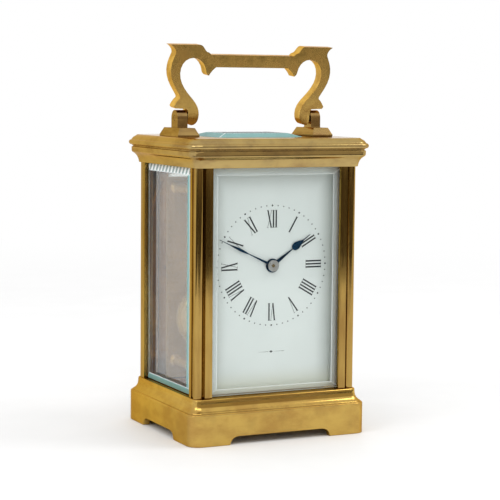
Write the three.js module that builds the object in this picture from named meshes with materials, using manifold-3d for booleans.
// Carriage clock: a glazed brass case with a swinging bail handle and a rear door, round an eight-day
// spring-driven movement with a horizontal platform escapement on top.
// Millimetres. X is the viewer's right when facing the dial, Y points to the back, Z is up.
// The origin is the middle of the base's underside.
import * as THREE from "three";
import { ConvexGeometry } from "three/addons/geometries/ConvexGeometry.js";
import { mergeVertices } from "three/addons/utils/BufferGeometryUtils.js";
import Module from "manifold-3d";

const wasm = await Module();
wasm.setup();

// ---- driving dimensions -------------------------------------------------------------------------
const DEG = Math.PI / 180;
const FIT_GAP = 0.3; // between a piece and the cut it sits in

// case
const BASE_W = 80;
const BASE_D = 70;
const BASE_CORNER_R = 5;
const BASE_FACE_Z = 13.2; // top of the plinth's upright face
const FLOOR_Z = 18.7; // top of the base, where pillars, glasses and movement stand
const CORNICE_Z = 111.6; // underside of the cornice
const TOP_Z = 123.4; // top of the cornice
const PILLAR_INSET_X = 3.6; // from the base's face to the pillars' faces, at the sides
const PILLAR_INSET_Y = 4.8; // and at the front and back
const PILLAR_SIZE = 7.5; // width of a pillar's front or back face
const FRONT_PILLAR_SIDE = 6.2; // width of a front pillar's side face
const REAR_PILLAR_SIDE = 5.6; // width of a rear pillar's side face
const FACE_X = BASE_W / 2 - PILLAR_INSET_X;
const FACE_Y = BASE_D / 2 - PILLAR_INSET_Y;
const PILLAR_HOLE_INSET = 3.2; // from a pillar's faces to the screw hole up its middle
const FRONT_STRIP_T = 1.4; // thickness of a pillar's strip in front of the front glass
const SIDE_STRIP_T = 0.8; // and in front of a side glass
const SLOT_W = 2.1; // slot that takes a glass edge
const SLOT_LIP = 1.0;
const FRONT_SLOT_DEPTH = 2.0;
const SIDE_SLOT_DEPTH = 0.7;
const GLASS_T = 1.6;
const RECESS_Z = 8.5; // ceiling of the hollow under the base
const BASE_WALL = 3;
const TOP_OPENING_INSET = 19.7; // from the base's outline to the opening that holds the top glass
const TOP_LEDGE_INSET = 22;
const TOP_LEDGE_Z = 121.4;
const TOP_GLASS_PROUD = 1.5;
const TOP_BEVEL = 5.6;

// handle
const PIVOT_Z = 131;
const HANDLE_T = 5;
const HANDLE_LEAN = 6.5; // degrees towards the dial at rest
const LUG_X = 30.9;
const LUG_TOP_Z = 127;
const POST_W = 4.5;
const POST_R = 3.3;
const PIVOT_PIN_R = 1.1;

// rear door
const DOOR_T = 2.9;
const DOOR_HALF_W = FACE_X - PILLAR_SIZE - 0.4;
const DOOR_STILE = 5;
const DOOR_PIN_R = 0.8;

// dial and hands
const DIAL_Z = 71.1;
const DIAL_Y = -24.9; // front of the enamel
const DIAL_T = 1;
const DIAL_HALF_W = 30.2;
const TIME_HOURS = 1.82; // the time shown, in hours

// movement
const PLATE_T = 1.8;
const PLATE_HALF_W = 27.5;
const PLATE_TOP_Z = 105.5;
const FRONT_PLATE_Y = -20.5; // front face of the front plate
const BACK_PLATE_Y = 19.7; // front face of the back plate
const ARBOR_R = 1.2;
const PIVOT_R = 0.7;
const PIVOT_HOLE_R = 0.8;
const SPACER_POSITIONS = [
  [-24, 26.5],
  [24, 26.5],
  [-24, 101],
  [24, 101],
];
const SPACER_R = 2.8;

// going train: tooth counts and modules
const GREAT = { teeth: 72, module: 0.36 };
const SECOND_PINION = { teeth: 12, module: 0.36 };
const SECOND = { teeth: 60, module: 0.4 };
const CENTRE_PINION = { teeth: 12, module: 0.4 };
const CENTRE = { teeth: 60, module: 0.42 };
const THIRD_PINION = { teeth: 8, module: 0.42 };
const THIRD = { teeth: 64, module: 0.38 };
const CONTRATE_PINION = { teeth: 8, module: 0.38 };
const CROWN = { teeth: 48, module: 0.45 };
const ESCAPE_PINION = { teeth: 6, module: 0.45 };
const ESCAPE_TEETH = 15;
const ESCAPE_R = 3.6;
// motion work: twelve to one between the hands
const CANNON = { teeth: 12, module: 0.45 };
const MINUTE = { teeth: 36, module: 0.45 };
const MINUTE_PINION = { teeth: 10, module: 0.432 };
const HOUR = { teeth: 40, module: 0.432 };

const pitchR = (gear) => (gear.teeth * gear.module) / 2;

// The point at distance ra from a and rb from b, on the right of the line from a to b when side is 1.
function meetingPoint([ax, az], ra, [bx, bz], rb, side) {
  const d = Math.hypot(bx - ax, bz - az);
  const along = (ra * ra - rb * rb + d * d) / (2 * d);
  const off = side * Math.sqrt(ra * ra - along * along);
  const [ux, uz] = [(bx - ax) / d, (bz - az) / d];
  return [ax + along * ux + off * uz, az + along * uz - off * ux];
}

const BARREL_AT = [-13, 45.5];
const CENTRE_AT = [0, DIAL_Z];
const SECOND_AT = meetingPoint(
  BARREL_AT,
  pitchR(GREAT) + pitchR(SECOND_PINION),
  CENTRE_AT,
  pitchR(SECOND) + pitchR(CENTRE_PINION),
  1,
);
const CONTRATE_AT = [0, 89.4];
const THIRD_AT = meetingPoint(
  CENTRE_AT,
  pitchR(CENTRE) + pitchR(THIRD_PINION),
  CONTRATE_AT,
  pitchR(THIRD) + pitchR(CONTRATE_PINION),
  -1,
);
const MINUTE_AT = [0, DIAL_Z - pitchR(CANNON) - pitchR(MINUTE)];

// axial places of the wheels, front to back
const CENTRE_WHEEL_Y = [-14.2, -13.1];
const SECOND_WHEEL_Y = [-11.6, -10.5];
const CROWN_DISC_Y = [-9.4, -8.5];
const CROWN_TOOTH_H = 0.85;
const THIRD_WHEEL_Y = [-4, -3];
const BARREL_END_Y = -8.8;
const GREAT_WHEEL_Y = [12.6, 14.2];

// platform escapement
const PLATFORM_Z = [PLATE_TOP_Z + FIT_GAP, PLATE_TOP_Z + FIT_GAP + 1.6];
const PLATFORM_HALF_W = 16;
const ESCAPE_AXIS_Y = CROWN_DISC_Y[1] + CROWN_TOOTH_H / 2 + pitchR(ESCAPE_PINION);
const ESCAPE_WHEEL_Z = [PLATFORM_Z[1] + 1.3, PLATFORM_Z[1] + 1.7];
const LEVER_AXIS_Y = ESCAPE_AXIS_Y + ESCAPE_R / Math.cos(30 * DEG) + 0.35;
const BALANCE_AXIS_Y = 8.6;
const BALANCE_R = 7.6;
const BALANCE_Z = [PLATFORM_Z[1] + 4.7, PLATFORM_Z[1] + 5.7];
const COCK_Z = [PLATFORM_Z[1] + 7.1, PLATFORM_Z[1] + 8.3];

// ---- geometry helpers ---------------------------------------------------------------------------
function cleanIndexed(geometry) {
  const bare = geometry.clone();
  bare.deleteAttribute("normal");
  bare.deleteAttribute("uv");
  const merged = mergeVertices(bare, 1e-4);
  const kept = [];
  for (let i = 0; i < merged.index.count; i += 3) {
    const [a, b, c] = [0, 1, 2].map((k) => merged.index.getX(i + k));
    if (a !== b && b !== c && a !== c) kept.push(a, b, c);
  }
  merged.setIndex(kept);
  return merged;
}

function solidOf(geometry) {
  const clean = cleanIndexed(geometry);
  return new wasm.Manifold(
    new wasm.Mesh({
      numProp: 3,
      vertProperties: new Float32Array(clean.attributes.position.array),
      triVerts: new Uint32Array(clean.index.array),
    }),
  );
}

function geometryOf(solid) {
  const mesh = solid.getMesh();
  const geometry = new THREE.BufferGeometry();
  geometry.setAttribute("position", new THREE.BufferAttribute(new Float32Array(mesh.vertProperties), 3));
  geometry.setIndex(new THREE.BufferAttribute(new Uint32Array(mesh.triVerts), 1));
  return geometry;
}

const fuse = (first, ...rest) =>
  geometryOf(rest.reduce((solid, piece) => solid.add(solidOf(piece)), solidOf(first)));

const cut = (first, ...tools) =>
  geometryOf(tools.reduce((solid, tool) => solid.subtract(solidOf(tool)), solidOf(first)));

// A flat outline drawn in the plane across the axis and drawn out from one place on it to another.
// The outline's two coordinates are (x, y) for the z axis, (x, z) for y and (y, z) for x.
function extrude(shape, axis, from, to, curveSegments = 6) {
  const geometry = new THREE.ExtrudeGeometry(shape, {
    depth: to - from,
    bevelEnabled: false,
    curveSegments,
  });
  const [x, y, z] = [new THREE.Vector3(1, 0, 0), new THREE.Vector3(0, 1, 0), new THREE.Vector3(0, 0, 1)];
  const turn = new THREE.Matrix4();
  if (axis === "x") turn.makeBasis(y, z, x).setPosition(from, 0, 0);
  if (axis === "y") turn.makeBasis(x, z, y.clone().negate()).setPosition(0, to, 0);
  if (axis === "z") turn.makeTranslation(0, 0, from);
  return geometry.applyMatrix4(turn);
}

function box(x0, x1, y0, y1, z0, z1) {
  const geometry = new THREE.BoxGeometry(x1 - x0, y1 - y0, z1 - z0);
  return geometry.translate((x0 + x1) / 2, (y0 + y1) / 2, (z0 + z1) / 2);
}

// A turned piece. The profile lists [radius, place along the axis]; its ends are taken to the axis.
function turned(profile, axis, sides = 16) {
  const [first, last] = [profile[0], profile[profile.length - 1]];
  const points = [[0, first[1]], ...profile, [0, last[1]]].filter(
    ([r, s], i, all) => i === 0 || r !== all[i - 1][0] || s !== all[i - 1][1],
  );
  const geometry = new THREE.LatheGeometry(
    points.map(([r, s]) => new THREE.Vector2(r, s)),
    sides,
  );
  if (axis === "z") geometry.rotateX(Math.PI / 2);
  if (axis === "x") geometry.rotateZ(-Math.PI / 2);
  return geometry;
}

const rod = (r, axis, from, to, sides = 16) =>
  turned(
    [
      [r, from],
      [r, to],
    ],
    axis,
    sides,
  );

function roundedRectangle(hx, hy, r) {
  const shape = new THREE.Shape();
  shape.absarc(hx - r, hy - r, r, 0, 90 * DEG);
  shape.absarc(-hx + r, hy - r, r, 90 * DEG, 180 * DEG);
  shape.absarc(-hx + r, -hy + r, r, 180 * DEG, 270 * DEG);
  shape.absarc(hx - r, -hy + r, r, 270 * DEG, 360 * DEG);
  shape.closePath();
  return shape;
}

function circlePath(x, y, r) {
  const path = new THREE.Path();
  path.absarc(x, y, r, 0, 2 * Math.PI, true);
  return path;
}

// One round-cornered ring of the base's outline, moved in or out and set at a height.
function outlineRing(offset, z, cornerR) {
  const [hx, hy] = [BASE_W / 2 + offset, BASE_D / 2 + offset];
  const corner = Math.max(cornerR, 0.05);
  const perCorner = 5;
  const ring = [];
  for (const [sx, sy, start] of [
    [1, 1, 0],
    [-1, 1, 90],
    [-1, -1, 180],
    [1, -1, 270],
  ]) {
    for (let i = 0; i <= perCorner; i++) {
      const a = (start + (90 * i) / perCorner) * DEG;
      ring.push([
        sx * (hx - corner) + corner * Math.cos(a),
        sy * (hy - corner) + corner * Math.sin(a),
        z,
      ]);
    }
  }
  return ring;
}

// A moulded frame: the rings of its section, joined each to the next and the last to the first.
function ringFrame(rings) {
  const n = rings[0].length;
  const index = [];
  rings.forEach((_, k) => {
    const next = ((k + 1) % rings.length) * n;
    for (let i = 0; i < n; i++) {
      const j = (i + 1) % n;
      index.push(k * n + i, k * n + j, next + j, k * n + i, next + j, next + i);
    }
  });
  const geometry = new THREE.BufferGeometry();
  geometry.setAttribute("position", new THREE.Float32BufferAttribute(rings.flat(2), 3));
  return geometry.setIndex(index);
}

// A solid block of the same rings, closed by a flat face at each end.
function ringBlock(rings) {
  const n = rings[0].length;
  const index = [];
  for (let k = 0; k + 1 < rings.length; k++) {
    for (let i = 0; i < n; i++) {
      const j = (i + 1) % n;
      index.push(k * n + i, k * n + j, (k + 1) * n + j, k * n + i, (k + 1) * n + j, (k + 1) * n + i);
    }
  }
  const last = (rings.length - 1) * n;
  for (let i = 1; i + 1 < n; i++) {
    index.push(0, i + 1, i);
    index.push(last, last + i, last + i + 1);
  }
  const geometry = new THREE.BufferGeometry();
  geometry.setAttribute("position", new THREE.Float32BufferAttribute(rings.flat(2), 3));
  return geometry.setIndex(index);
}

const brass = (color = 0xb08a3e) => new THREE.MeshStandardMaterial({ color, roughness: 0.35, metalness: 1 });
const steel = () => new THREE.MeshStandardMaterial({ color: 0x9a9ca0, roughness: 0.3, metalness: 1 });
const bluedSteel = () => new THREE.MeshStandardMaterial({ color: 0x16223a, roughness: 0.3, metalness: 0.9 });
const GLASS_LOOK = { color: 0xdfeeee, roughness: 0.05, metalness: 0, transparent: true, opacity: 0.3 };
const glass = () => new THREE.MeshStandardMaterial(GLASS_LOOK);
const enamel = () => new THREE.MeshStandardMaterial({ color: 0xf1f3f2, roughness: 0.2, metalness: 0 });

const clock = new THREE.Group();

function place(name, geometry, material, group = clock) {
  const mesh = new THREE.Mesh(geometry, material);
  mesh.name = name;
  group.add(mesh);
  return mesh;
}

// ---- case ---------------------------------------------------------------------------------------
// The plinth's moulding: [offset from the outline, height]
const PLINTH_PROFILE = [
  [0, 0],
  [0, BASE_FACE_Z - 0.45],
  [-0.45, BASE_FACE_Z],
  [-0.8, BASE_FACE_Z],
  [-0.85, BASE_FACE_Z + 0.35],
  [-1.5, BASE_FACE_Z + 0.75],
  [-2.2, BASE_FACE_Z + 1.5],
  [-2.7, BASE_FACE_Z + 2.6],
  [-2.9, BASE_FACE_Z + 3.9],
  [-2.95, FLOOR_Z - 0.35],
  [-3.3, FLOOR_Z],
];
const FOOT_GAP_X = 22.8; // half the gap between the feet, front and back
const FOOT_GAP_Y = 16.4; // half the gap between the feet, at the sides
const FOOT_ARCH_H = 3.4;

const pillarHoles = [-1, 1].flatMap((sx) =>
  [-1, 1].map((sy) => [sx * (FACE_X - PILLAR_HOLE_INSET), sy * (FACE_Y - PILLAR_HOLE_INSET)]),
);
const MOVEMENT_SCREW_X = SPACER_POSITIONS[1][0];
const MOVEMENT_SCREW_Y = 0;
const SCREW_R = 1.1;
const SCREW_HOLE_R = 1.3;
const DOOR_AXIS = [DOOR_HALF_W - DOOR_T / 2, FACE_Y - DOOR_T / 2];
const DOOR_PIN_REACH = 1.2;

// Underside arch between two feet, drawn across the base, with hollow quarter-round ends.
function footArch(halfGap) {
  const shape = new THREE.Shape();
  shape.moveTo(-halfGap, -1);
  shape.lineTo(halfGap, -1);
  shape.lineTo(halfGap, 0);
  shape.quadraticCurveTo(halfGap - 0.6, FOOT_ARCH_H, halfGap - FOOT_ARCH_H - 0.6, FOOT_ARCH_H);
  shape.lineTo(-halfGap + FOOT_ARCH_H + 0.6, FOOT_ARCH_H);
  shape.quadraticCurveTo(-halfGap + 0.6, FOOT_ARCH_H, -halfGap, 0);
  shape.closePath();
  return shape;
}

function plinth() {
  const rings = PLINTH_PROFILE.map(([offset, z]) => outlineRing(offset, z, BASE_CORNER_R + offset * 0.6));
  const recess = extrude(
    roundedRectangle(BASE_W / 2 - BASE_WALL, BASE_D / 2 - BASE_WALL, 2),
    "z",
    -1,
    RECESS_Z,
    3,
  );
  const screwHole = (x, y) => rod(SCREW_HOLE_R, "z", RECESS_Z - 1, FLOOR_Z + 1, 12).translate(x, y, 0);
  const screwHoles = pillarHoles.map(([x, y]) => screwHole(x, y));
  const movementHoles = [-1, 1].map((s) => screwHole(s * MOVEMENT_SCREW_X, MOVEMENT_SCREW_Y));
  const doorPinHole = rod(DOOR_PIN_R + 0.15, "z", FLOOR_Z - DOOR_PIN_REACH - 0.2, FLOOR_Z + 1, 12);
  return cut(
    ringBlock(rings),
    recess,
    extrude(footArch(FOOT_GAP_X), "y", -BASE_D, BASE_D, 5),
    extrude(footArch(FOOT_GAP_Y), "x", -BASE_W, BASE_W, 5),
    ...screwHoles,
    ...movementHoles,
    doorPinHole.translate(DOOR_AXIS[0], DOOR_AXIS[1], 0),
  );
}
place("base_plinth", plinth(), brass());

// The cornice's section, round from the bottom outer edge: [offset from the outline, height]
function beadArc(inner, z, r, steps) {
  return Array.from({ length: steps + 1 }, (_, i) => {
    const a = (-90 + (180 * i) / steps) * DEG;
    return [inner + r * Math.cos(a) * 0.85, z + r * Math.sin(a)];
  });
}
const CORNICE_SECTION = [
  [-3.0, CORNICE_Z],
  [-2.9, 112.2],
  [-2.65, 113.2],
  [-2.3, 114.1],
  [-1.75, 114.9],
  [-1.1, 115.5],
  [-0.5, 115.9],
  [-0.15, 116.4],
  [-0.1, 118.2],
  [-0.6, 118.35],
  [-0.6, 118.75],
  [-0.2, 118.85],
  [-0.2, 119.1],
  ...beadArc(0.05, 120.2, 1.05, 6),
  [-0.1, 121.5],
  [-0.7, 122.3],
  [-1.6, 122.9],
  [-2.3, TOP_Z],
  [-TOP_OPENING_INSET, TOP_Z],
  [-TOP_OPENING_INSET, TOP_LEDGE_Z],
  [-TOP_LEDGE_INSET, TOP_LEDGE_Z],
  [-TOP_LEDGE_INSET, TOP_LEDGE_Z - 1.8],
  [-11.4, TOP_LEDGE_Z - 1.8],
  [-11.4, CORNICE_Z],
];

function cornice() {
  const cornerR = (offset) => (offset < -8 ? 1 : BASE_CORNER_R + offset * 0.6);
  const frame = ringFrame(CORNICE_SECTION.map(([offset, z]) => outlineRing(offset, z, cornerR(offset))));
  const doorPinHole = rod(DOOR_PIN_R + 0.15, "z", CORNICE_Z - 1, CORNICE_Z + DOOR_PIN_REACH + 0.2, 12);
  return cut(frame, doorPinHole.translate(DOOR_AXIS[0], DOOR_AXIS[1], 0));
}
place("cornice", cornice(), brass());

// A corner pillar's section, drawn inwards from its outer corner: a round bead on the corner, a narrow
// groove each side of it, a flat strip in front of each glass and a slot behind each strip.
const BEAD_R = 1.95;
const GROOVE_W = 0.55;
const FRONT_GROOVE_DEPTH = 1.3;
const SIDE_GROOVE_DEPTH = 0.7;
const STRIP_START = 2 * BEAD_R + GROOVE_W - 0.15;
const LIP_SETBACK = 0.6; // the lip behind a glass is this much shorter than the strip in front of it

// One face's half of the section: [distance along the face, depth behind it]
function pillarArm(size, stripT, slotDepth, grooveDepth) {
  const slotEnd = size - slotDepth;
  const lipEnd = size - LIP_SETBACK;
  return [
    [STRIP_START, grooveDepth],
    [STRIP_START, 0],
    [size, 0],
    [size, stripT],
    [slotEnd, stripT],
    [slotEnd, stripT + SLOT_W],
    [lipEnd, stripT + SLOT_W],
    [lipEnd, stripT + SLOT_W + SLOT_LIP],
  ];
}
const frontArm = () => pillarArm(PILLAR_SIZE, FRONT_STRIP_T, FRONT_SLOT_DEPTH, FRONT_GROOVE_DEPTH);
const sideArm = (size) => pillarArm(size, SIDE_STRIP_T, SIDE_SLOT_DEPTH, SIDE_GROOVE_DEPTH);

function pillarShape(first, second) {
  const inner = [second.at(-1)[1], first.at(-1)[1]];
  const shape = new THREE.Shape();
  shape.moveTo(...first[0]);
  first.slice(1).forEach(([u, v]) => shape.lineTo(u, v));
  shape.lineTo(...inner);
  [...second].reverse().forEach(([u, v]) => shape.lineTo(v, u));
  shape.absarc(BEAD_R, BEAD_R, BEAD_R, 110 * DEG, 340 * DEG);
  shape.closePath();
  return shape;
}

const PILLAR_SCREW_REACH = 9;
for (const [name, sx, sy, quarterTurns] of [
  ["pillar_front_left", -1, -1, 0],
  ["pillar_front_right", 1, -1, 1],
  ["pillar_rear_right", 1, 1, 2],
  ["pillar_rear_left", -1, 1, 3],
]) {
  const arms = [frontArm(), sideArm(sy < 0 ? FRONT_PILLAR_SIDE : REAR_PILLAR_SIDE)];
  const [first, second] = quarterTurns % 2 ? [arms[1], arms[0]] : arms;
  const column = extrude(pillarShape(first, second), "z", FLOOR_Z, CORNICE_Z, 9);
  const hole = rod(SCREW_R + 0.1, "z", FLOOR_Z - 1, FLOOR_Z + PILLAR_SCREW_REACH + 0.5, 12);
  const pillar = cut(column, hole.translate(PILLAR_HOLE_INSET, PILLAR_HOLE_INSET, 0));
  const mesh = place(name, pillar, brass());
  mesh.position.set(sx * FACE_X, sy * FACE_Y, 0);
  mesh.rotation.z = quarterTurns * 90 * DEG;
}

// A bevelled glass plate: a flat back, an edge band and a raised face inside the bevel.
function bevelledPlate(halfW, halfH, thickness, bevelW, bevelH) {
  const edgeT = thickness * 0.5;
  const corners = (w, h, t) =>
    [-1, 1].flatMap((sx) => [-1, 1].map((sy) => new THREE.Vector3(sx * w, t, sy * h)));
  return new ConvexGeometry([
    ...corners(halfW, halfH, 0),
    ...corners(halfW, halfH, -edgeT),
    ...corners(halfW - bevelW, halfH - bevelH, -thickness),
  ]);
}

const GLASS_HALF_H = (CORNICE_Z - FLOOR_Z) / 2 - 0.2;
const GLASS_MID_Z = (CORNICE_Z + FLOOR_Z) / 2;
const frontGlassInset = PILLAR_SIZE - FRONT_SLOT_DEPTH + FIT_GAP;
const sideGlassFront = -FACE_Y + FRONT_PILLAR_SIDE - SIDE_SLOT_DEPTH + FIT_GAP;
const sideGlassBack = FACE_Y - REAR_PILLAR_SIDE + SIDE_SLOT_DEPTH - FIT_GAP;
const glassBackDepth = (stripT) => stripT + (SLOT_W - GLASS_T) / 2 + GLASS_T; // behind the case's face
const UPRIGHT_BEVEL_W = 4.3;
const SIDE_BEVEL_W = 3.2;
const UPRIGHT_BEVEL_H = 2.8;

const frontGlass = place(
  "front_glass",
  bevelledPlate(FACE_X - frontGlassInset, GLASS_HALF_H, GLASS_T, UPRIGHT_BEVEL_W, UPRIGHT_BEVEL_H),
  glass(),
);
frontGlass.position.set(0, -FACE_Y + glassBackDepth(FRONT_STRIP_T), GLASS_MID_Z);
for (const [name, side] of [
  ["left_glass", -1],
  ["right_glass", 1],
]) {
  const halfWidth = (sideGlassBack - sideGlassFront) / 2;
  const plate = bevelledPlate(halfWidth, GLASS_HALF_H, GLASS_T, SIDE_BEVEL_W, UPRIGHT_BEVEL_H);
  const mesh = place(name, plate, glass());
  const plane = side * (FACE_X - glassBackDepth(SIDE_STRIP_T));
  mesh.position.set(plane, (sideGlassFront + sideGlassBack) / 2, GLASS_MID_Z);
  mesh.rotation.z = side * 90 * DEG;
}
const topGlass = place(
  "top_glass",
  bevelledPlate(
    BASE_W / 2 - TOP_OPENING_INSET - FIT_GAP,
    BASE_D / 2 - TOP_OPENING_INSET - FIT_GAP,
    TOP_Z + TOP_GLASS_PROUD - TOP_LEDGE_Z,
    TOP_BEVEL,
    TOP_BEVEL,
  ),
  glass(),
);
topGlass.position.set(0, 0, TOP_LEDGE_Z);
topGlass.rotation.x = -90 * DEG;

// Cheese-headed screw pointing up, its head's top face at the given height.
function upwardScrew(seatZ, tipZ, headR, headH) {
  const slot = box(-headR - 1, headR + 1, -0.3, 0.3, seatZ - headH - 1, seatZ - headH + 0.6);
  return cut(
    turned(
      [
        [headR - 0.3, seatZ - headH],
        [headR, seatZ - headH + 0.3],
        [headR, seatZ],
        [SCREW_R, seatZ],
        [SCREW_R, tipZ - 0.5],
        [SCREW_R - 0.5, tipZ],
      ],
      "z",
      10,
    ),
    slot,
  );
}
pillarHoles.forEach(([x, y], i) => {
  const screw = upwardScrew(RECESS_Z, FLOOR_Z + PILLAR_SCREW_REACH, 2.4, 1.6);
  const mesh = place(`case_screw_${i + 1}`, screw, steel());
  mesh.position.set(x, y, 0);
});

// ---- handle -------------------------------------------------------------------------------------
// A lug: a chamfered block on the cornice with a round-topped post at its middle.
function lug() {
  const [footX, footY, topX, topY] = [4.8, 9.8, 3.4, 8.2];
  const corners = (hx, hy, z) =>
    [-1, 1].flatMap((sx) => [-1, 1].map((sy) => new THREE.Vector3(sx * hx, sy * hy, z)));
  const block = new ConvexGeometry([
    ...corners(footX, footY, TOP_Z),
    ...corners(footX, footY, TOP_Z + 0.7),
    ...corners(topX, topY, LUG_TOP_Z),
  ]);
  const postOutline = new THREE.Shape();
  postOutline.moveTo(-POST_R, LUG_TOP_Z - 0.5);
  postOutline.lineTo(POST_R, LUG_TOP_Z - 0.5);
  postOutline.absarc(0, PIVOT_Z, POST_R, 0, Math.PI);
  postOutline.closePath();
  const post = extrude(postOutline, "x", -POST_W / 2, POST_W / 2, 12);
  const pinHole = rod(PIVOT_PIN_R + 0.05, "x", -POST_W, POST_W, 16).translate(0, 0, PIVOT_Z);
  return cut(fuse(block, post), pinHole);
}

const ARM_INNER_X = 23.4; // inner side of an arm's foot
const ARM_OUTER_X = LUG_X - POST_W / 2 - 0.4; // outer side, which runs against the post
for (const [side, s] of [
  ["left", -1],
  ["right", 1],
]) {
  place(`handle_lug_${side}`, lug(), brass()).position.x = s * LUG_X;
  const pin = rod(PIVOT_PIN_R, "x", ARM_INNER_X + 1.2, LUG_X + POST_W / 2, 16);
  const mesh = place(`handle_pivot_${side}`, pin, steel());
  mesh.position.z = PIVOT_Z;
  mesh.rotation.z = s > 0 ? 0 : Math.PI;
}

// The bail's outline, drawn upright with the pivot at height 0. Only the right half is listed, from the
// middle of the grip's top edge round to the middle of its lower edge; the left half mirrors it.
const GRIP_TOP = 26.4;
const GRIP_BOTTOM = 21.3;
function bailHalf() {
  const path = new THREE.Path();
  path.moveTo(0, GRIP_BOTTOM);
  path.lineTo(16.6, GRIP_BOTTOM);
  path.quadraticCurveTo(18.6, 19.9, 19.7, 17.8); // inner spur under the grip
  path.quadraticCurveTo(20.9, 18.3, 21.1, 19.8);
  path.bezierCurveTo(21.6, 22.6, 23.8, 25, 26.8, 25); // hollow under the arm's head
  path.bezierCurveTo(30.2, 25, 32.6, 22.4, 32.6, 18.6);
  path.bezierCurveTo(32.6, 15.1, 30.4, 12.1, 27.6, 9.2); // down the arm's inner side
  path.bezierCurveTo(25.2, 6.8, ARM_INNER_X, 4.7, ARM_INNER_X, 1.7);
  path.bezierCurveTo(ARM_INNER_X, -0.9, 24.5, -2.7, 26.5, -2.8); // round the foot
  path.quadraticCurveTo(ARM_OUTER_X - 0.6, -2.7, ARM_OUTER_X - 0.2, -1);
  path.lineTo(ARM_OUTER_X, 2.6);
  path.quadraticCurveTo(ARM_OUTER_X + 0.2, 4, ARM_OUTER_X + 1, 4); // ledge over the post
  path.lineTo(34, 4.2);
  path.lineTo(34.6, 5);
  path.quadraticCurveTo(33.6, 7.2, 32.2, 8.3); // outer spur
  path.quadraticCurveTo(31.9, 8.8, 32.5, 9.7);
  path.bezierCurveTo(34.2, 12.4, 36.8, 15.6, 36.8, 19.7); // up the arm's outer side
  path.bezierCurveTo(36.8, 22.8, 35.6, 24.9, 34.9, 26.7);
  path.quadraticCurveTo(34.6, 28.6, 37.3, 30.3); // outer ear
  path.lineTo(24, 30.4);
  path.bezierCurveTo(22.6, 30.2, 22.1, 28.2, 21, 27.6); // inner ear down to the grip
  path.quadraticCurveTo(19.6, 27.3, 19.2, GRIP_TOP);
  path.lineTo(0, GRIP_TOP);
  return path;
}

function bail() {
  const right = bailHalf().getPoints(5);
  const outline = new THREE.Shape([
    ...right,
    ...[...right].reverse().slice(1, -1).map((p) => new THREE.Vector2(-p.x, p.y)),
  ]);
  const blank = extrude(outline, "y", -HANDLE_T / 2, HANDLE_T / 2);
  const bores = [-1, 1].map((s) =>
    rod(PIVOT_PIN_R + 0.08, "x", ARM_INNER_X + 0.9, ARM_OUTER_X + 1, 16).rotateZ(s > 0 ? 0 : Math.PI),
  );
  return cut(blank, ...bores);
}
const swingingHandle = new THREE.Group();
swingingHandle.position.z = PIVOT_Z;
swingingHandle.rotation.x = HANDLE_LEAN * DEG;
clock.add(swingingHandle);
place("handle", bail(), brass(), swingingHandle);

// ---- rear door ----------------------------------------------------------------------------------
// The frame turns on two pins in its hinge stile, whose edge is half-round about their axis.
const DOOR_Z = [FLOOR_Z + 0.3, CORNICE_Z - 0.3];
const DOOR_RAIL = 5;
const DOOR_Y = [FACE_Y - DOOR_T, FACE_Y];
const DOOR_GLASS_SLOT = 0.7;
const KNOB_AT = [-DOOR_HALF_W + 2.5, 66];

function doorFrame() {
  const section = new THREE.Shape();
  section.moveTo(-DOOR_HALF_W, DOOR_Y[0]);
  section.lineTo(DOOR_AXIS[0], DOOR_Y[0]);
  section.absarc(DOOR_AXIS[0], DOOR_AXIS[1], DOOR_T / 2, -90 * DEG, 90 * DEG);
  section.lineTo(-DOOR_HALF_W, DOOR_Y[1]);
  section.closePath();
  const slab = extrude(section, "z", DOOR_Z[0], DOOR_Z[1], 8);
  const [x0, x1] = [-DOOR_HALF_W + DOOR_STILE, DOOR_HALF_W - DOOR_STILE];
  const [z0, z1] = [DOOR_Z[0] + DOOR_RAIL, DOOR_Z[1] - DOOR_RAIL];
  const g = DOOR_GLASS_SLOT;
  const opening = box(x0, x1, DOOR_Y[0] - 1, DOOR_Y[1] + 1, z0, z1);
  const glassRebate = box(x0 - g, x1 + g, DOOR_Y[0] - 1, DOOR_Y[0] + 2, z0 - g, z1 + g);
  const pins = [
    rod(DOOR_PIN_R, "z", DOOR_Z[0] - DOOR_PIN_REACH, DOOR_Z[0] + 1, 12),
    rod(DOOR_PIN_R, "z", DOOR_Z[1] - 1, DOOR_Z[1] + DOOR_PIN_REACH, 12),
  ].map((pin) => pin.translate(DOOR_AXIS[0], DOOR_AXIS[1], 0));
  const knobHole = rod(0.75, "y", DOOR_Y[0] - 1, DOOR_Y[1] + 1, 12).translate(KNOB_AT[0], 0, KNOB_AT[1]);
  return fuse(cut(slab, opening, glassRebate, knobHole), ...pins);
}
place("rear_door_frame", doorFrame(), brass());

const doorGlassHalf = DOOR_HALF_W - DOOR_STILE + DOOR_GLASS_SLOT - 0.2;
const doorGlass = place(
  "rear_door_glass",
  bevelledPlate(doorGlassHalf, (DOOR_Z[1] - DOOR_Z[0]) / 2 - DOOR_RAIL + DOOR_GLASS_SLOT - 0.2, 1.6, 3, 3),
  glass(),
);
doorGlass.position.set(0, DOOR_Y[0] + 0.2, (DOOR_Z[0] + DOOR_Z[1]) / 2);
doorGlass.rotation.z = Math.PI;

const knob = place(
  "rear_door_knob",
  turned(
    [
      [0.65, DOOR_Y[0] + 0.3],
      [0.65, DOOR_Y[1]],
      [0.95, DOOR_Y[1]],
      [0.95, DOOR_Y[1] + 0.9],
      [1.9, DOOR_Y[1] + 1.7],
      [2.1, DOOR_Y[1] + 2.4],
      [1.6, DOOR_Y[1] + 3.2],
      [0.7, DOOR_Y[1] + 3.5],
    ],
    "y",
    16,
  ),
  brass(),
);
knob.position.set(KNOB_AT[0], 0, KNOB_AT[1]);

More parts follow.
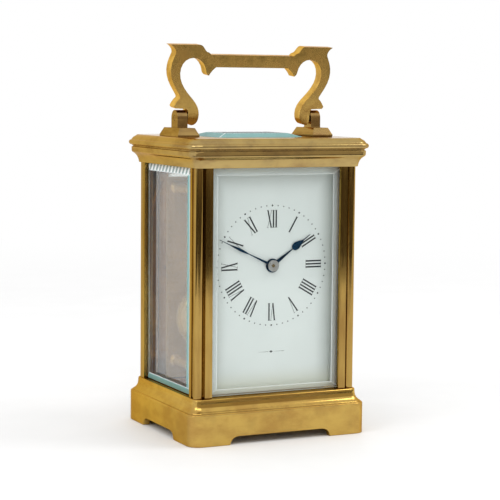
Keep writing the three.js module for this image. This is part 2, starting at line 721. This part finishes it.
// ---- toothed wheels -----------------------------------------------------------------------------
// A toothed outline round the origin. Each tooth narrows from root to tip and is thinner than the gap
// beside it, which is the play that meshing wheels need. The shares are of the tooth pitch.
function toothed({ teeth, module }, phase, rootShare = 0.27, tipShare = 0.1) {
  const r = (teeth * module) / 2;
  const pitch = (2 * Math.PI) / teeth;
  const shape = new THREE.Shape();
  const corners = [
    [r - module, -rootShare],
    [r + 0.62 * module, -tipShare],
    [r + 0.62 * module, tipShare],
    [r - module, rootShare],
  ];
  for (let k = 0; k < teeth; k++) {
    for (const [radius, share] of corners) {
      const a = phase + (k + share) * pitch;
      shape.lineTo(radius * Math.cos(a), radius * Math.sin(a));
    }
  }
  shape.curves.shift();
  shape.closePath();
  return shape;
}

// Windows that leave a wheel its rim, hub and arms.
function addCrossings(shape, hubR, rimR, arms, armW) {
  const half = (r) => Math.PI / arms - Math.asin(armW / 2 / r);
  for (let k = 0; k < arms; k++) {
    const middle = ((k + 0.5) * 2 * Math.PI) / arms;
    const path = new THREE.Path();
    path.absarc(0, 0, rimR, middle - half(rimR), middle + half(rimR), false);
    path.absarc(0, 0, hubR, middle + half(hubR), middle - half(hubR), true);
    path.closePath();
    shape.holes.push(path);
  }
  return shape;
}

// The turn that puts a gap of the driven gear over the driver's tooth on their line of centres.
function meshPhase(driver, driverAt, driverPhase, driven, drivenAt) {
  const line = Math.atan2(drivenAt[1] - driverAt[1], drivenAt[0] - driverAt[0]);
  const along = ((line - driverPhase) * driver.teeth) / (2 * Math.PI);
  return line + Math.PI + ((2 * Math.PI) / driven.teeth) * (along - 0.5);
}

const PINION_ROOT = 0.22;
const PINION_TIP = 0.09;
const wheel = (gear, phase, [y0, y1], { hubR, arms, armW, rim = 1.7 }) =>
  extrude(
    addCrossings(toothed(gear, phase), hubR, pitchR(gear) - gear.module - rim, arms, armW),
    "y",
    y0,
    y1,
    2,
  );
const pinion = (gear, phase, y0, y1) => extrude(toothed(gear, phase, PINION_ROOT, PINION_TIP), "y", y0, y1);

// An arbor from plate to plate: shoulders just inside the plates and a thin pivot in each.
function arbor(r = ARBOR_R, pivotR = PIVOT_R) {
  const [front, back] = [FRONT_PLATE_Y + PLATE_T + FIT_GAP, BACK_PLATE_Y - FIT_GAP];
  return turned(
    [
      [pivotR, FRONT_PLATE_Y + 0.2],
      [pivotR, front],
      [r, front],
      [r, back],
      [pivotR, back],
      [pivotR, BACK_PLATE_Y + PLATE_T - 0.2],
    ],
    "y",
    12,
  );
}

function placeAt([x, z], name, geometry, material) {
  const mesh = place(name, geometry, material);
  mesh.position.set(x, 0, z);
  return mesh;
}

// ---- movement frame -----------------------------------------------------------------------------
const DIAL_FEET = [
  [-19, 88],
  [19, 88],
  [0, 36],
];
const DIAL_FOOT_R = 1.1;
const MAIN_PIVOT_R = 1.8;
const PLATE_BOTTOM_Z = FLOOR_Z + FIT_GAP;
const PLATFORM_SCREW_X = 12.5;
const PLATFORM_SCREW_R = 0.6;
const CLICK_AT = [BARREL_AT[0] + 9.4, BARREL_AT[1] + 2];
const trainCentres = [CENTRE_AT, SECOND_AT, THIRD_AT, CONTRATE_AT];

function plate(y, extraHoles) {
  const shape = new THREE.Shape();
  shape.moveTo(-PLATE_HALF_W, PLATE_BOTTOM_Z);
  shape.lineTo(PLATE_HALF_W, PLATE_BOTTOM_Z);
  shape.lineTo(PLATE_HALF_W, PLATE_TOP_Z);
  shape.lineTo(-PLATE_HALF_W, PLATE_TOP_Z);
  shape.closePath();
  const holes = [
    ...trainCentres.map((at) => [...at, PIVOT_HOLE_R]),
    ...SPACER_POSITIONS.map((at) => [...at, SPACER_NECK_R + 0.1]),
    [...BARREL_AT, MAIN_PIVOT_R + 0.1],
    ...extraHoles,
  ];
  holes.forEach(([x, z, r]) => shape.holes.push(circlePath(x, z, r)));
  const screwHoles = [-1, 1].map((s) =>
    rod(PLATFORM_SCREW_R + 0.1, "z", PLATE_TOP_Z - 3, PLATE_TOP_Z + 1, 8).translate(
      s * PLATFORM_SCREW_X,
      y + PLATE_T / 2,
      0,
    ),
  );
  return cut(extrude(shape, "y", y, y + PLATE_T, 6), ...screwHoles);
}
const SPACER_NECK_R = 1.3;
const MINUTE_STUD_R = 0.8;
const MOTION_Y = [-21.8, -20.9]; // cannon pinion's and minute wheel's teeth
const HOUR_Y = [-23.4, -22.4]; // minute pinion's and hour wheel's teeth

const minuteStud = rod(MINUTE_STUD_R, "y", HOUR_Y[0] - 0.1, FRONT_PLATE_Y + 0.5, 12);
place(
  "front_plate",
  fuse(
    plate(FRONT_PLATE_Y, DIAL_FEET.map((at) => [...at, DIAL_FOOT_R + 0.15])),
    minuteStud.translate(MINUTE_AT[0], 0, MINUTE_AT[1]),
  ),
  brass(),
);
const BACK_FACE_Y = BACK_PLATE_Y + PLATE_T;
const RATCHET_Y = [BACK_FACE_Y + 0.3, BACK_FACE_Y + 1.6];
const clickStud = turned(
  [
    [0.8, BACK_FACE_Y - 0.5],
    [0.8, RATCHET_Y[1] + 0.2],
    [1.5, RATCHET_Y[1] + 0.2],
    [1.5, RATCHET_Y[1] + 0.9],
  ],
  "y",
  12,
);
place(
  "back_plate",
  fuse(plate(BACK_PLATE_Y, []), clickStud.translate(CLICK_AT[0], 0, CLICK_AT[1])),
  brass(),
);

// Turned pillar between the plates, with a neck and a nut through each plate.
const spacerProfile = [
  [1.9, FRONT_PLATE_Y - 0.9],
  [1.9, FRONT_PLATE_Y],
  [SPACER_NECK_R, FRONT_PLATE_Y],
  [SPACER_NECK_R, FRONT_PLATE_Y + PLATE_T],
  [SPACER_R, FRONT_PLATE_Y + PLATE_T],
  [SPACER_R, FRONT_PLATE_Y + PLATE_T + 1.6],
  [2, FRONT_PLATE_Y + PLATE_T + 2.6],
  [1.8, -8],
  [2.5, -3.4],
  [2.5, 3.4],
  [1.8, 8],
  [2, BACK_PLATE_Y - 2.6],
  [SPACER_R, BACK_PLATE_Y - 1.6],
  [SPACER_R, BACK_PLATE_Y],
  [SPACER_NECK_R, BACK_PLATE_Y],
  [SPACER_NECK_R, BACK_FACE_Y],
  [1.9, BACK_FACE_Y],
  [1.7, BACK_FACE_Y + 1.2],
];
const spacerNames = ["lower_left", "lower_right", "upper_left", "upper_right"];
SPACER_POSITIONS.forEach((at, i) => {
  const turnedPillar = turned(spacerProfile, "y", 10);
  const screwHole = rod(SCREW_HOLE_R, "z", -SPACER_R - 1, 0.8, 12).translate(0, MOVEMENT_SCREW_Y, 0);
  const body = i < 2 ? cut(turnedPillar, screwHole) : turnedPillar;
  placeAt(at, `movement_pillar_${spacerNames[i]}`, body, brass());
});
["left", "right"].forEach((side, i) => {
  const screw = upwardScrew(RECESS_Z, SPACER_POSITIONS[i][1] + 0.3, 2.4, 1.6);
  place(`movement_screw_${side}`, screw, steel()).position.set(SPACER_POSITIONS[i][0], MOVEMENT_SCREW_Y, 0);
});

// ---- dial, motion work and hands ----------------------------------------------------------------
const HOUR_PIPE_R = 2;
const CANNON_PIPE_R = 1.35;
const HOUR_HAND_Y = [-25.6, -25.3];
const MINUTE_HAND_Y = [-26.1, -25.8];

function dial() {
  const shape = new THREE.Shape();
  const [z0, z1] = [FLOOR_Z + 0.4, CORNICE_Z - 0.4];
  shape.moveTo(-DIAL_HALF_W, z0);
  shape.lineTo(DIAL_HALF_W, z0);
  shape.lineTo(DIAL_HALF_W, z1);
  shape.lineTo(-DIAL_HALF_W, z1);
  shape.closePath();
  shape.holes.push(circlePath(0, DIAL_Z, HOUR_PIPE_R + 0.4));
  const feet = DIAL_FEET.map(([x, z]) =>
    rod(DIAL_FOOT_R, "y", DIAL_Y + DIAL_T - 0.3, FRONT_PLATE_Y + PLATE_T - 0.2, 10).translate(x, 0, z),
  );
  return fuse(extrude(shape, "y", DIAL_Y, DIAL_Y + DIAL_T, 8), ...feet);
}
place("dial_plate", dial(), enamel());

const cannonPhase = 0;
const minutePhase = meshPhase(CANNON, CENTRE_AT, cannonPhase, MINUTE, MINUTE_AT);
const minutePinionPhase = 0;
const hourPhase = meshPhase(MINUTE_PINION, MINUTE_AT, minutePinionPhase, HOUR, CENTRE_AT);
const CENTRE_FRONT_R = 0.8; // the centre arbor's front end, which carries the cannon pinion

function pipe(innerR, outerR, y0, y1, sides = 20) {
  const shape = new THREE.Shape();
  shape.absarc(0, 0, outerR, 0, 2 * Math.PI);
  shape.holes.push(circlePath(0, 0, innerR));
  return extrude(shape, "y", y0, y1, sides / 2);
}

placeAt(
  CENTRE_AT,
  "cannon_pinion",
  cut(
    fuse(pinion(CANNON, cannonPhase, ...MOTION_Y), rod(CANNON_PIPE_R, "y", MINUTE_HAND_Y[0], MOTION_Y[1], 16)),
    rod(CENTRE_FRONT_R + 0.1, "y", MINUTE_HAND_Y[0] - 1, MOTION_Y[1] + 1, 16),
  ),
  steel(),
);
placeAt(
  MINUTE_AT,
  "minute_wheel",
  cut(
    fuse(
      wheel(MINUTE, minutePhase, MOTION_Y, { hubR: 3, arms: 4, armW: 1.2, rim: 1.2 }),
      pinion(MINUTE_PINION, minutePinionPhase, HOUR_Y[0], MOTION_Y[0] + 0.1),
    ),
    rod(MINUTE_STUD_R + 0.15, "y", HOUR_Y[0] - 1, MOTION_Y[1] + 1, 12),
  ),
  brass(),
);
placeAt(
  CENTRE_AT,
  "hour_wheel",
  cut(
    fuse(
      wheel(HOUR, hourPhase, HOUR_Y, { hubR: 3, arms: 4, armW: 1.2, rim: 1.2 }),
      rod(HOUR_PIPE_R, "y", HOUR_HAND_Y[0], HOUR_Y[1], 16),
    ),
    rod(CANNON_PIPE_R + 0.2, "y", HOUR_HAND_Y[0] - 1, HOUR_Y[1] + 1, 16),
  ),
  brass(),
);

// A spade hand, drawn pointing up: a boss, a stem that thins upwards, a leaf and a fine point.
function hand({ length, bossR, holeR, stemW, leafFrom, leafWidest, leafTo, leafW }, [y0, y1]) {
  const [thin, fine] = [0.17, 0.1];
  const outline = new THREE.Shape();
  outline.moveTo(stemW, bossR * 0.8);
  outline.lineTo(thin, leafFrom);
  outline.bezierCurveTo(leafW * 0.3, leafFrom, leafW * 0.5, leafWidest - 1.2, leafW / 2, leafWidest);
  outline.bezierCurveTo(leafW / 2, leafWidest + 1.4, thin * 2, leafTo - 1.6, thin, leafTo);
  outline.lineTo(fine, length);
  outline.lineTo(-fine, length);
  outline.lineTo(-thin, leafTo);
  outline.bezierCurveTo(-thin * 2, leafTo - 1.6, -leafW / 2, leafWidest + 1.4, -leafW / 2, leafWidest);
  outline.bezierCurveTo(-leafW * 0.5, leafWidest - 1.2, -leafW * 0.3, leafFrom, -thin, leafFrom);
  outline.lineTo(-stemW, bossR * 0.8);
  outline.closePath();
  return cut(
    fuse(extrude(outline, "y", y0, y1, 6), rod(bossR, "y", y0, y1, 20)),
    rod(holeR, "y", y0 - 1, y1 + 1, 16),
  );
}
const hourHand = placeAt(
  CENTRE_AT,
  "hour_hand",
  hand(
    {
      length: 21.3,
      bossR: 2.9,
      holeR: HOUR_PIPE_R + 0.08,
      stemW: 0.75,
      leafFrom: 11.4,
      leafWidest: 13.4,
      leafTo: 18,
      leafW: 3.2,
    },
    HOUR_HAND_Y,
  ),
  bluedSteel(),
);
hourHand.rotation.y = ((TIME_HOURS % 12) / 12) * 360 * DEG;
const minuteHand = placeAt(
  CENTRE_AT,
  "minute_hand",
  hand(
    {
      length: 26.6,
      bossR: 2.6,
      holeR: CANNON_PIPE_R + 0.08,
      stemW: 0.5,
      leafFrom: 12.5,
      leafWidest: 16.2,
      leafTo: 21.5,
      leafW: 1.1,
    },
    MINUTE_HAND_Y,
  ),
  bluedSteel(),
);
minuteHand.rotation.y = (TIME_HOURS % 1) * 360 * DEG;
const NUT_R = 2.4;
const NUT_SLOT_DEPTH = 0.15;
const NUT_SLOT_HALF_W = 0.2;
const NUT_Y = [MINUTE_HAND_Y[0] - 0.45, MINUTE_HAND_Y[0] - 0.1];
placeAt(
  CENTRE_AT,
  "hand_nut",
  cut(
    rod(NUT_R, "y", ...NUT_Y, 20),
    rod(CENTRE_FRONT_R - 0.05, "y", NUT_Y[0] - 1, NUT_Y[1] + 1, 12),
    box(-NUT_R - 1, NUT_R + 1, NUT_Y[0] - 1, NUT_Y[0] + NUT_SLOT_DEPTH, -NUT_SLOT_HALF_W, NUT_SLOT_HALF_W),
    box(-NUT_SLOT_HALF_W, NUT_SLOT_HALF_W, NUT_Y[0] - 1, NUT_Y[0] + NUT_SLOT_DEPTH, -NUT_R - 1, NUT_R + 1),
  ),
  steel(),
);

// ---- going train --------------------------------------------------------------------------------
const centrePinionPhase = 0;
const secondPhase = meshPhase(CENTRE_PINION, CENTRE_AT, centrePinionPhase, SECOND, SECOND_AT);
const secondPinionPhase = 0;
const greatPhase = meshPhase(SECOND_PINION, SECOND_AT, secondPinionPhase, GREAT, BARREL_AT);
const centrePhase = 0;
const thirdPinionPhase = meshPhase(CENTRE, CENTRE_AT, centrePhase, THIRD_PINION, THIRD_AT);
const thirdPhase = 0;
const contratePinionPhase = meshPhase(THIRD, THIRD_AT, thirdPhase, CONTRATE_PINION, CONTRATE_AT);

const centreFront = rod(CENTRE_FRONT_R - 0.1, "y", MINUTE_HAND_Y[0] - 0.35, FRONT_PLATE_Y + 1, 12);
placeAt(
  CENTRE_AT,
  "centre_wheel",
  fuse(
    arbor(),
    centreFront,
    wheel(CENTRE, centrePhase, CENTRE_WHEEL_Y, { hubR: 2.6, arms: 4, armW: 1.3 }),
    pinion(CENTRE_PINION, centrePinionPhase, SECOND_WHEEL_Y[0] - 0.6, SECOND_WHEEL_Y[1] + 0.6),
  ),
  brass(),
);
placeAt(
  SECOND_AT,
  "second_wheel",
  fuse(
    arbor(),
    wheel(SECOND, secondPhase, SECOND_WHEEL_Y, { hubR: 3.4, arms: 4, armW: 1.5 }),
    pinion(SECOND_PINION, secondPinionPhase, GREAT_WHEEL_Y[0] - 0.8, GREAT_WHEEL_Y[1] + 0.8),
  ),
  brass(),
);
placeAt(
  THIRD_AT,
  "third_wheel",
  fuse(
    arbor(0.9),
    wheel(THIRD, thirdPhase, THIRD_WHEEL_Y, { hubR: 2.4, arms: 4, armW: 1.1 }),
    pinion(THIRD_PINION, thirdPinionPhase, CENTRE_WHEEL_Y[0] - 0.6, CENTRE_WHEEL_Y[1] + 0.6),
  ),
  brass(),
);

// The contrate wheel's teeth stand up from the back of its rim, parallel to its arbor.
function crownTeeth() {
  const pitch = (2 * Math.PI) / CROWN.teeth;
  const r = pitchR(CROWN);
  const [foot, tip] = [CROWN_DISC_Y[1] - 0.05, CROWN_DISC_Y[1] + CROWN_TOOTH_H];
  return Array.from({ length: CROWN.teeth }, (_, k) => {
    const tooth = new ConvexGeometry(
      [r - 0.5, r + 0.5].flatMap((radius) => [
        new THREE.Vector3(radius, foot, -0.27 * pitch * r),
        new THREE.Vector3(radius, foot, 0.27 * pitch * r),
        new THREE.Vector3(radius, tip, -0.08 * pitch * r),
        new THREE.Vector3(radius, tip, 0.08 * pitch * r),
      ]),
    );
    return tooth.rotateY(-Math.PI / 2 - k * pitch);
  });
}
const crownDisc = new THREE.Shape();
crownDisc.absarc(0, 0, pitchR(CROWN) + 0.6, 0, 2 * Math.PI);
addCrossings(crownDisc, 2.2, pitchR(CROWN) - 1.5, 4, 1.1);
placeAt(
  CONTRATE_AT,
  "contrate_wheel",
  fuse(
    arbor(0.9),
    extrude(crownDisc, "y", ...CROWN_DISC_Y, 12),
    pinion(CONTRATE_PINION, contratePinionPhase, THIRD_WHEEL_Y[0] - 0.6, THIRD_WHEEL_Y[1] + 0.6),
    ...crownTeeth(),
  ),
  brass(),
);

// ---- barrel, mainspring and winding -------------------------------------------------------------
const DRUM_R = 11.6;
const DRUM_WALL = 1;
const HUB_HOLE_R = 2.5;
const BARREL_ARBOR_R = 2.3;
const COVER_T = 0.9;

function barrelDrum() {
  const great = toothed(GREAT, greatPhase);
  great.holes.push(circlePath(0, 0, HUB_HOLE_R));
  const wall = new THREE.Shape();
  wall.absarc(0, 0, DRUM_R, 0, 2 * Math.PI);
  wall.holes.push(circlePath(0, 0, DRUM_R - DRUM_WALL));
  return fuse(extrude(great, "y", ...GREAT_WHEEL_Y, 12), extrude(wall, "y", BARREL_END_Y, GREAT_WHEEL_Y[0] + 0.1, 20));
}
placeAt(BARREL_AT, "barrel", barrelDrum(), brass());
placeAt(
  BARREL_AT,
  "barrel_cover",
  pipe(HUB_HOLE_R, DRUM_R - DRUM_WALL - 0.1, BARREL_END_Y + 0.2, BARREL_END_Y + 0.2 + COVER_T, 36),
  brass(),
);

function spiral(r0, r1, turns, thickness, perTurn, phase = 0) {
  const steps = turns * perTurn;
  const at = (i, offset) => {
    const a = phase + (i / perTurn) * 2 * Math.PI;
    const r = r0 + ((r1 - r0) * i) / steps + offset;
    return new THREE.Vector2(r * Math.cos(a), r * Math.sin(a));
  };
  const outer = Array.from({ length: steps + 1 }, (_, i) => at(i, thickness / 2));
  const inner = Array.from({ length: steps + 1 }, (_, i) => at(steps - i, -thickness / 2));
  return new THREE.Shape([...outer, ...inner]);
}
placeAt(
  BARREL_AT,
  "mainspring",
  extrude(spiral(3, DRUM_R - DRUM_WALL - 0.6, 7, 0.5, 14), "y", BARREL_END_Y + COVER_T + 0.7, GREAT_WHEEL_Y[0] - 0.5),
  steel(),
);

const SQUARE_HALF = 1.3;
const SQUARE_END_Y = 27;
const squareEnd = box(-SQUARE_HALF, SQUARE_HALF, BACK_FACE_Y - 0.3, SQUARE_END_Y, -SQUARE_HALF, SQUARE_HALF);
placeAt(
  BARREL_AT,
  "winding_arbor",
  fuse(arbor(BARREL_ARBOR_R, MAIN_PIVOT_R), squareEnd),
  steel(),
);

const RATCHET_TEETH = 24;
const RATCHET_R = 5.6;
function ratchet() {
  const shape = new THREE.Shape();
  const points = [];
  for (let k = 0; k < RATCHET_TEETH; k++) {
    const pitch = (2 * Math.PI) / RATCHET_TEETH;
    points.push([RATCHET_R, k * pitch], [RATCHET_R - 0.9, (k + 0.08) * pitch]);
  }
  shape.setFromPoints(points.map(([r, a]) => new THREE.Vector2(r * Math.cos(a), r * Math.sin(a))));
  const h = SQUARE_HALF + 0.1;
  return cut(extrude(shape, "y", ...RATCHET_Y), box(-h, h, RATCHET_Y[0] - 1, RATCHET_Y[1] + 1, -h, h));
}
placeAt(BARREL_AT, "ratchet_wheel", ratchet(), steel());

// The click is drawn about its stud; its beak rests just outside the ratchet's teeth.
const click = new THREE.Shape();
click.moveTo(0.9, -1.8);
click.absarc(0, 0, 1.9, -60 * DEG, 75 * DEG);
click.lineTo(-3.4, 3.3);
click.lineTo(-5, 2.3);
click.lineTo(-4.7, 1.45);
click.lineTo(-1.7, 0.9);
click.absarc(0, 0, 1.9, 150 * DEG, 250 * DEG);
click.closePath();
click.holes.push(circlePath(0, 0, 0.95));
placeAt(CLICK_AT, "click", extrude(click, "y", ...RATCHET_Y), steel());

// The click's spring: a foot on the plate and a thin bowed leaf over the click's back.
const spring = new THREE.Shape();
spring.moveTo(-8.6, 9.4);
spring.quadraticCurveTo(-4.5, 7.4, -2.8, 4.8);
spring.lineTo(-2.4, 5.1);
spring.quadraticCurveTo(-4.2, 8, -8.3, 10.2);
spring.absarc(-9.6, 10, 1.5, 10 * DEG, 330 * DEG);
spring.closePath();
placeAt(CLICK_AT, "click_spring", extrude(spring, "y", RATCHET_Y[0] - 0.2, RATCHET_Y[1] - 0.4), steel());

// ---- platform escapement ------------------------------------------------------------------------
const STAFF_R = 0.5;
const FINE_PIVOT_R = 0.3;
const FINE_HOLE_R = 0.42;
const BRIDGE_Z = [PLATFORM_Z[1] + 2.7, PLATFORM_Z[1] + 3.7];
const ESCAPE_FOOT_Z = 98.2;
const PINION_Z = [ESCAPE_FOOT_Z + 0.3, 102];
const platformEnds = [FRONT_PLATE_Y + 0.2, BACK_FACE_Y - 0.2];

function platform() {
  const slab = box(-PLATFORM_HALF_W, PLATFORM_HALF_W, ...platformEnds, ...PLATFORM_Z);
  const screws = [-1, 1].flatMap((sx) =>
    [FRONT_PLATE_Y + PLATE_T / 2, BACK_PLATE_Y + PLATE_T / 2].map((y) =>
      turned(
        [
          [PLATFORM_SCREW_R, PLATE_TOP_Z - 2.6],
          [PLATFORM_SCREW_R, PLATFORM_Z[1] - 0.2],
          [0.85, PLATFORM_Z[1] - 0.2],
          [0.85, PLATFORM_Z[1] + 0.8],
        ],
        "z",
        8,
      ).translate(sx * PLATFORM_SCREW_X, y, 0),
    ),
  );
  const hanger = box(-1.5, 1.5, ESCAPE_AXIS_Y + 1.75, ESCAPE_AXIS_Y + 3.2, ESCAPE_FOOT_Z - 1.4, PLATFORM_Z[0] + 0.2);
  const potence = box(-1.5, 1.5, CROWN_DISC_Y[1] + 0.4, ESCAPE_AXIS_Y + 3.2, ESCAPE_FOOT_Z - 1.4, ESCAPE_FOOT_Z);
  const bankings = [-1, 1].map((s) =>
    rod(0.3, "z", PLATFORM_Z[1] - 0.2, ESCAPE_WHEEL_Z[1], 8).translate(s * 1.35, LEVER_AXIS_Y + 6, 0),
  );
  return cut(
    fuse(slab, ...screws, hanger, potence, ...bankings),
    rod(1, "z", PLATFORM_Z[0] - 1, PLATFORM_Z[1] + 1, 12).translate(0, ESCAPE_AXIS_Y, 0),
    rod(FINE_HOLE_R, "z", ESCAPE_FOOT_Z - 1, ESCAPE_FOOT_Z + 1, 8).translate(0, ESCAPE_AXIS_Y, 0),
    rod(FINE_HOLE_R, "z", PLATFORM_Z[1] - 1.2, PLATFORM_Z[1] + 1, 8).translate(0, LEVER_AXIS_Y, 0),
    rod(FINE_HOLE_R, "z", PLATFORM_Z[1] - 1.2, PLATFORM_Z[1] + 1, 8).translate(0, BALANCE_AXIS_Y, 0),
  );
}
place("platform", platform(), brass());

// A staff with a fine pivot at each end, standing between the platform and a bridge.
const staff = (footZ, topZ, r = STAFF_R) =>
  turned(
    [
      [FINE_PIVOT_R, footZ - 0.9],
      [FINE_PIVOT_R, footZ + 0.2],
      [r, footZ + 0.2],
      [r, topZ - 0.2],
      [FINE_PIVOT_R, topZ - 0.2],
      [FINE_PIVOT_R, topZ + 0.8],
    ],
    "z",
    8,
  );

const escapeShape = new THREE.Shape(
  Array.from({ length: ESCAPE_TEETH }, (_, k) => {
    const pitch = (2 * Math.PI) / ESCAPE_TEETH;
    return [
      [ESCAPE_R, k * pitch],
      [ESCAPE_R, (k + 0.14) * pitch],
      [ESCAPE_R - 1, (k - 0.02) * pitch + 0.12],
      [ESCAPE_R - 1, (k + 0.72) * pitch],
    ].map(([r, a]) => new THREE.Vector2(r * Math.cos(a), r * Math.sin(a)));
  }).flat(),
);
addCrossings(escapeShape, 1, ESCAPE_R - 1.5, 4, 0.5);
const escapePinion = extrude(
  toothed(ESCAPE_PINION, -Math.PI / 2 + Math.PI / ESCAPE_PINION.teeth, 0.2, 0.08),
  "z",
  ...PINION_Z,
);
place(
  "escape_wheel",
  fuse(staff(ESCAPE_FOOT_Z, BRIDGE_Z[0]), escapePinion, extrude(escapeShape, "z", ...ESCAPE_WHEEL_Z, 2)),
  steel(),
).position.y = ESCAPE_AXIS_Y;

// The lever: two pallet arms over the escape wheel and a forked tail under the balance's roller.
const FORK_REACH = BALANCE_AXIS_Y - LEVER_AXIS_Y - 1.4;
const leverHalf = [
  [0, -0.75],
  [0.9, -0.75],
  [1.9, -1.02],
  [2.6, -1.35],
  [3, -1.2],
  [2.9, -0.5],
  [1, 0.3],
  [0.35, 1.2],
  [0.3, FORK_REACH - 1.6],
  [0.9, FORK_REACH - 0.7],
  [0.9, FORK_REACH],
  [0.4, FORK_REACH],
  [0.35, FORK_REACH - 0.8],
  [0, FORK_REACH - 0.8],
];
const leverShape = new THREE.Shape([
  ...leverHalf.map(([x, y]) => new THREE.Vector2(x, y)),
  ...[...leverHalf].reverse().slice(1, -1).map(([x, y]) => new THREE.Vector2(-x, y)),
]);
place(
  "lever",
  fuse(staff(PLATFORM_Z[1], BRIDGE_Z[0]), extrude(leverShape, "z", ...ESCAPE_WHEEL_Z)),
  steel(),
).position.y = LEVER_AXIS_Y;

function trainBridge() {
  const [foot0, foot1] = [6.4, 10.4];
  const [y0, y1] = [ESCAPE_AXIS_Y - 1.6, LEVER_AXIS_Y + 1.6];
  const bar = box(-1.6, foot1, y0, y1, ...BRIDGE_Z);
  const foot = box(foot0, foot1, y0, y1, PLATFORM_Z[1], BRIDGE_Z[0] + 0.1);
  return cut(
    fuse(bar, foot),
    ...[ESCAPE_AXIS_Y, LEVER_AXIS_Y].map((y) =>
      rod(FINE_HOLE_R, "z", BRIDGE_Z[0] - 1, BRIDGE_Z[1] + 1, 8).translate(0, y, 0),
    ),
  );
}
place("train_bridge", trainBridge(), brass());

const rimShape = new THREE.Shape();
rimShape.absarc(0, 0, BALANCE_R, 0, 2 * Math.PI);
addCrossings(rimShape, 1.2, BALANCE_R - 1, 2, 1);
const ROLLER_Z = [BRIDGE_Z[0] - 0.1, BRIDGE_Z[0] + 0.5];
place(
  "balance_wheel",
  fuse(
    staff(PLATFORM_Z[1], COCK_Z[0]),
    extrude(rimShape, "z", ...BALANCE_Z, 12),
    rod(1.5, "z", ...ROLLER_Z, 12),
    rod(0.25, "z", ESCAPE_WHEEL_Z[1] + 0.3, ROLLER_Z[1], 6).translate(0, -1.1, 0),
  ),
  brass(),
).position.y = BALANCE_AXIS_Y;

const HAIRSPRING_R = 4.6;
place(
  "hairspring",
  extrude(spiral(0.9, HAIRSPRING_R, 5, 0.16, 16), "z", BALANCE_Z[1] + 0.5, BALANCE_Z[1] + 0.9),
  bluedSteel(),
).position.y = BALANCE_AXIS_Y;

function balanceCock() {
  const [foot0, foot1] = [8.6, 13];
  const arm = new THREE.Shape();
  arm.absarc(0, 0, 2, 90 * DEG, 270 * DEG);
  arm.lineTo(foot0, -4);
  arm.lineTo(foot1, -4);
  arm.lineTo(foot1, 4);
  arm.lineTo(foot0, 4);
  arm.closePath();
  const foot = box(foot0, foot1, -4, 4, PLATFORM_Z[1], COCK_Z[0] + 0.1);
  const stud = box(HAIRSPRING_R + 0.3, HAIRSPRING_R + 1, -0.4, 0.4, BALANCE_Z[1] + 0.4, COCK_Z[0] + 0.1);
  return cut(
    fuse(extrude(arm, "z", ...COCK_Z, 8), foot, stud),
    rod(FINE_HOLE_R, "z", COCK_Z[0] - 1, COCK_Z[1] + 1, 8),
  );
}
place("balance_cock", balanceCock(), brass()).position.y = BALANCE_AXIS_Y;

export default clock;
